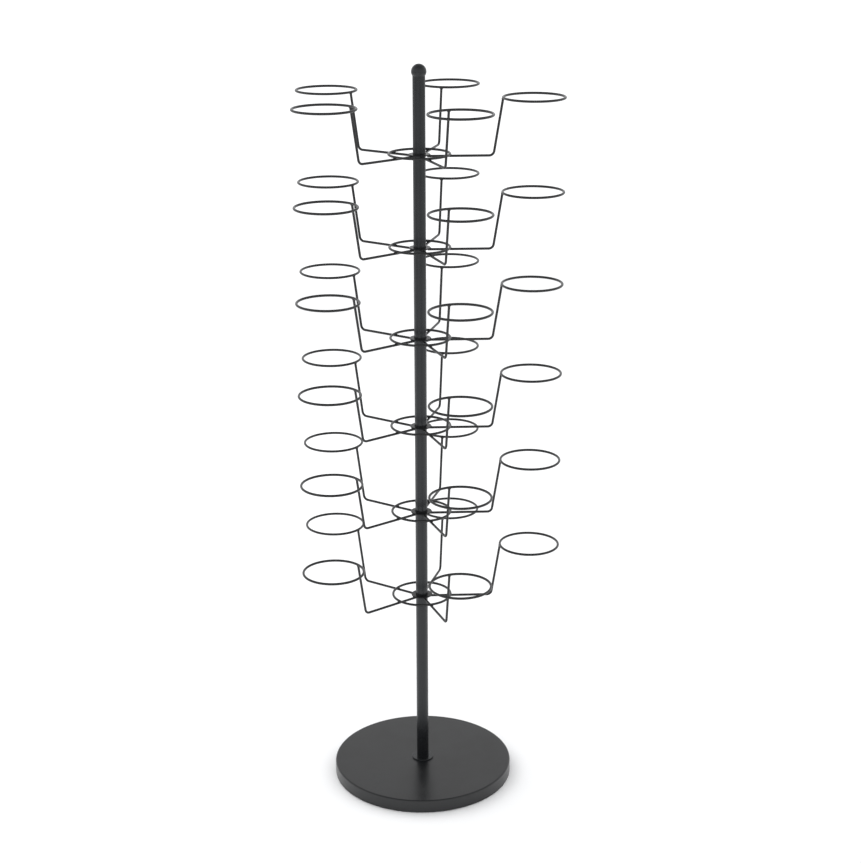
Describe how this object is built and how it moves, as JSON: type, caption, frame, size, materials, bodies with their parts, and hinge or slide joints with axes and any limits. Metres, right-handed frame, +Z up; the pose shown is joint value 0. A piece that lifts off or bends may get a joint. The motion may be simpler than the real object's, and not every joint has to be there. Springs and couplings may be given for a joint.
{
  "type": "rotating display rack",
  "caption": "Floor-standing rotating hat rack: a weighted round base, a straight pole with a ball on top, and tiers of bent wire arms ending in flat hat rings, each tier turning by itself.",
  "frame": {"origin": "on the floor, where the pole's axis meets the underside of the base pad", "axes": "+Z up along the pole and every tier's axis; -Y is the front, where one arm of each tier points at rest; +X to the right"},
  "size_m": [0.6616, 0.6367, 1.816],
  "materials": {
    "wire_paint": "satin",
    "hub_paint": "satin",
    "pole_paint": "satin",
    "base_paint": "satin",
    "bush_nylon": "satin",
    "zinc_steel": "satin",
    "ballast": "matte",
    "pad_rubber": "matte"
  },
  "bodies": {
    "stand": {"base_cover": "base_paint", "base_ballast": "ballast", "base_bottom_plate": "zinc_steel", "base_plate_screws": "zinc_steel", "base_pad": "pad_rubber", "foot_bolt": "zinc_steel", "foot_washer": "zinc_steel", "foot_flange": "pole_paint", "core_foot_plug": "zinc_steel", "core_tube_lower": "zinc_steel", "core_tube_upper": "zinc_steel", "core_joiner": "zinc_steel", "core_top_plug": "zinc_steel", "finial_stud": "zinc_steel", "ball_finial": "pole_paint", "pole_sleeve_1": "pole_paint", "pole_sleeve_2": "pole_paint", "pole_sleeve_3": "pole_paint", "pole_sleeve_4": "pole_paint", "pole_sleeve_5": "pole_paint", "pole_sleeve_6": "pole_paint", "pole_sleeve_7": "pole_paint", "tier_1_bush": "bush_nylon", "tier_2_bush": "bush_nylon", "tier_3_bush": "bush_nylon", "tier_4_bush": "bush_nylon", "tier_5_bush": "bush_nylon", "tier_6_bush": "bush_nylon"},
    "tier_1": {"tier_1_hub": "hub_paint", "tier_1_arms": "wire_paint", "tier_1_brace_ring": "wire_paint", "tier_1_hat_rings": "wire_paint"},
    "tier_2": {"tier_2_hub": "hub_paint", "tier_2_arms": "wire_paint", "tier_2_brace_ring": "wire_paint", "tier_2_hat_rings": "wire_paint"},
    "tier_3": {"tier_3_hub": "hub_paint", "tier_3_arms": "wire_paint", "tier_3_brace_ring": "wire_paint", "tier_3_hat_rings": "wire_paint"},
    "tier_4": {"tier_4_hub": "hub_paint", "tier_4_arms": "wire_paint", "tier_4_brace_ring": "wire_paint", "tier_4_hat_rings": "wire_paint"},
    "tier_5": {"tier_5_hub": "hub_paint", "tier_5_arms": "wire_paint", "tier_5_brace_ring": "wire_paint", "tier_5_hat_rings": "wire_paint"},
    "tier_6": {"tier_6_hub": "hub_paint", "tier_6_arms": "wire_paint", "tier_6_brace_ring": "wire_paint", "tier_6_hat_rings": "wire_paint"}
  },
  "joints": [
    {"name": "tier_1_spin", "type": "hinge", "parent": "stand", "child": "tier_1", "pos_m": [0, 0, 0.486], "axis": [0, 0, 1], "continuous": true},
    {"name": "tier_2_spin", "type": "hinge", "parent": "stand", "child": "tier_2", "pos_m": [0, 0, 0.709], "axis": [0, 0, 1], "continuous": true},
    {"name": "tier_3_spin", "type": "hinge", "parent": "stand", "child": "tier_3", "pos_m": [0, 0, 0.932], "axis": [0, 0, 1], "continuous": true},
    {"name": "tier_4_spin", "type": "hinge", "parent": "stand", "child": "tier_4", "pos_m": [0, 0, 1.155], "axis": [0, 0, 1], "continuous": true},
    {"name": "tier_5_spin", "type": "hinge", "parent": "stand", "child": "tier_5", "pos_m": [0, 0, 1.378], "axis": [0, 0, 1], "continuous": true},
    {"name": "tier_6_spin", "type": "hinge", "parent": "stand", "child": "tier_6", "pos_m": [0, 0, 1.601], "axis": [0, 0, 1], "continuous": true}
  ]
}
